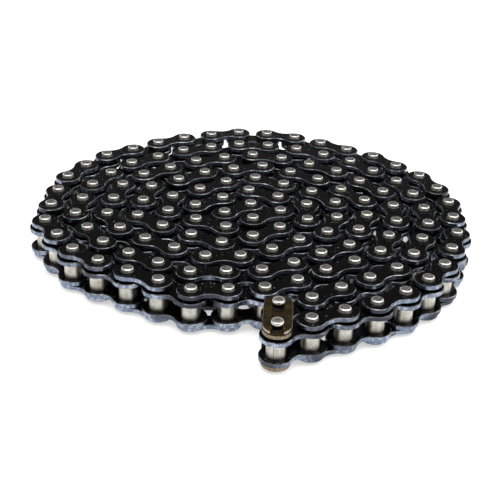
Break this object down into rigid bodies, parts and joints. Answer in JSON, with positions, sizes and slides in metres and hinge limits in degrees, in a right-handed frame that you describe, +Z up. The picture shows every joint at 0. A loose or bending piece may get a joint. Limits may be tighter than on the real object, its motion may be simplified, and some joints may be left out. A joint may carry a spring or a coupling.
{
  "type": "drive chain",
  "caption": "Rollerless bush drive chain, closed by a joining link with a spring clip, folded in two and wound into a flat coil lying on its side.",
  "frame": {"origin": "under the middle of the coil, on the surface that the lower pin ends stand on", "axes": "+Z up along the pins, +X to the right and +Y to the back as in the picture"},
  "size_m": [0.1262, 0.1256, 0.0139],
  "materials": {
    "black_plate": "black oxide, with worn bright rims",
    "bush_steel": "satin, curled strip",
    "pin_steel": "ground, bright edges",
    "bronze_plate": "steel tempered to a bronze colour",
    "spring_steel": "spring steel tempered to a bronze colour"
  },
  "bodies": {
    "coil": {"coil_bushes": "bush_steel", "coil_lower_inner_plates": "black_plate", "coil_lower_outer_plates": "black_plate", "coil_pins": "pin_steel", "coil_upper_inner_plates": "black_plate", "coil_upper_outer_plates": "black_plate", "front_9_lower_inner_plate": "black_plate", "front_9_upper_inner_plate": "black_plate"},
    "front_1": {"front_1_bushes": "bush_steel", "front_1_lower_inner_plate": "black_plate", "front_1_upper_inner_plate": "black_plate"},
    "front_2_and_3": {"front_2_lower_outer_plate": "black_plate", "front_2_pins": "pin_steel", "front_2_upper_outer_plate": "black_plate", "front_3_bushes": "bush_steel", "front_3_lower_inner_plate": "black_plate", "front_3_upper_inner_plate": "black_plate"},
    "front_4": {"front_4_lower_outer_plate": "black_plate", "front_4_pins": "pin_steel", "front_4_upper_outer_plate": "black_plate"},
    "front_5": {"front_5_bushes": "bush_steel", "front_5_lower_inner_plate": "black_plate", "front_5_upper_inner_plate": "black_plate"},
    "front_6": {"front_6_lower_outer_plate": "black_plate", "front_6_pins": "pin_steel", "front_6_upper_outer_plate": "black_plate"},
    "front_7": {"front_7_bushes": "bush_steel", "front_7_lower_inner_plate": "black_plate", "front_7_upper_inner_plate": "black_plate"},
    "front_8": {"front_8_lower_outer_plate": "black_plate", "front_8_pins": "pin_steel", "front_8_upper_outer_plate": "black_plate"},
    "joining_link": {"joining_cover_plate": "bronze_plate", "joining_pin_plate": "bronze_plate", "joining_pins": "pin_steel", "joining_spring_clip": "spring_steel"},
    "rear_1": {"rear_1_bushes": "bush_steel", "rear_1_lower_inner_plate": "black_plate", "rear_1_upper_inner_plate": "black_plate"},
    "rear_2": {"rear_2_lower_outer_plate": "black_plate", "rear_2_pins": "pin_steel", "rear_2_upper_outer_plate": "black_plate"},
    "rear_3": {"rear_3_bushes": "bush_steel", "rear_3_lower_inner_plate": "black_plate", "rear_3_upper_inner_plate": "black_plate"},
    "rear_4": {"rear_4_lower_outer_plate": "black_plate", "rear_4_pins": "pin_steel", "rear_4_upper_outer_plate": "black_plate"},
    "rear_5": {"rear_5_bushes": "bush_steel", "rear_5_lower_inner_plate": "black_plate", "rear_5_upper_inner_plate": "black_plate"},
    "rear_6": {"rear_6_lower_outer_plate": "black_plate", "rear_6_pins": "pin_steel", "rear_6_upper_outer_plate": "black_plate"},
    "rear_7": {"rear_7_bushes": "bush_steel", "rear_7_lower_inner_plate": "black_plate", "rear_7_upper_inner_plate": "black_plate"}
  },
  "joints": [
    {"name": "front_8_pivot", "type": "hinge", "parent": "coil", "child": "front_8", "pos_m": [0.0584, -0.00723, 0.0062], "axis": [0, 0, 1], "range_deg": [0, 15]},
    {"name": "rear_7_pivot", "type": "hinge", "parent": "coil", "child": "rear_7", "pos_m": [0.05078, -0.00225, 0.0062], "axis": [0, 0, 1], "range_deg": [0, 15]},
    {"name": "front_7_pivot", "type": "hinge", "parent": "front_8", "child": "front_7", "pos_m": [0.05559, -0.01633, 0.0062], "axis": [0, 0, 1], "range_deg": [-15, 0]},
    {"name": "rear_6_pivot", "type": "hinge", "parent": "rear_7", "child": "rear_6", "pos_m": [0.04797, -0.01135, 0.0062], "axis": [0, 0, 1], "range_deg": [-15, 0]},
    {"name": "front_6_pivot", "type": "hinge", "parent": "front_7", "child": "front_6", "pos_m": [0.05234, -0.02528, 0.0062], "axis": [0, 0, 1], "range_deg": [0, 35]},
    {"name": "front_5_pivot", "type": "hinge", "parent": "front_6", "child": "front_5", "pos_m": [0.04694, -0.03313, 0.0062], "axis": [0, 0, 1], "range_deg": [-35, 0]},
    {"name": "rear_5_pivot", "type": "hinge", "parent": "rear_6", "child": "rear_5", "pos_m": [0.04455, -0.02024, 0.0062], "axis": [0, 0, 1], "range_deg": [0, 35]},
    {"name": "rear_4_pivot", "type": "hinge", "parent": "rear_5", "child": "rear_4", "pos_m": [0.03915, -0.02808, 0.0062], "axis": [0, 0, 1], "range_deg": [-35, 0]},
    {"name": "front_4_pivot", "type": "hinge", "parent": "front_5", "child": "front_4", "pos_m": [0.04022, -0.03988, 0.0062], "axis": [0, 0, 1], "range_deg": [0, 50]},
    {"name": "front_2_and_3_pivot", "type": "hinge", "parent": "front_4", "child": "front_2_and_3", "pos_m": [0.0324, -0.04531, 0.0062], "axis": [0, 0, 1], "range_deg": [-50, 0]},
    {"name": "rear_3_pivot", "type": "hinge", "parent": "rear_4", "child": "rear_3", "pos_m": [0.03145, -0.03369, 0.0062], "axis": [0, 0, 1], "range_deg": [0, 50]},
    {"name": "rear_2_pivot", "type": "hinge", "parent": "rear_3", "child": "rear_2", "pos_m": [0.02363, -0.03913, 0.0062], "axis": [0, 0, 1], "range_deg": [-50, 0]},
    {"name": "front_1_pivot", "type": "hinge", "parent": "front_2_and_3", "child": "front_1", "pos_m": [0.01552, -0.05415, 0.0062], "axis": [0, 0, 1], "range_deg": [0, 4]},
    {"name": "joining_link_pivot", "type": "hinge", "parent": "front_1", "child": "joining_link", "pos_m": [0.00702, -0.05844, 0.0062], "axis": [0, 0, 1], "range_deg": [-4, 0]},
    {"name": "rear_1_pivot", "type": "hinge", "parent": "rear_2", "child": "rear_1", "pos_m": [0.01586, -0.04463, 0.0062], "axis": [0, 0, 1], "range_deg": [0, 4]}
  ],
  "couplings": [
    {"joint": "rear_7_pivot", "follows": "front_8_pivot", "ratio": 1},
    {"joint": "front_7_pivot", "follows": "front_8_pivot", "ratio": -1},
    {"joint": "rear_6_pivot", "follows": "front_8_pivot", "ratio": -1},
    {"joint": "front_5_pivot", "follows": "front_6_pivot", "ratio": -1},
    {"joint": "rear_5_pivot", "follows": "front_6_pivot", "ratio": 1},
    {"joint": "rear_4_pivot", "follows": "front_6_pivot", "ratio": -1},
    {"joint": "front_2_and_3_pivot", "follows": "front_4_pivot", "ratio": -1},
    {"joint": "rear_3_pivot", "follows": "front_4_pivot", "ratio": 1},
    {"joint": "rear_2_pivot", "follows": "front_4_pivot", "ratio": -1},
    {"joint": "joining_link_pivot", "follows": "front_1_pivot", "ratio": -1},
    {"joint": "rear_1_pivot", "follows": "front_1_pivot", "ratio": 1}
  ]
}
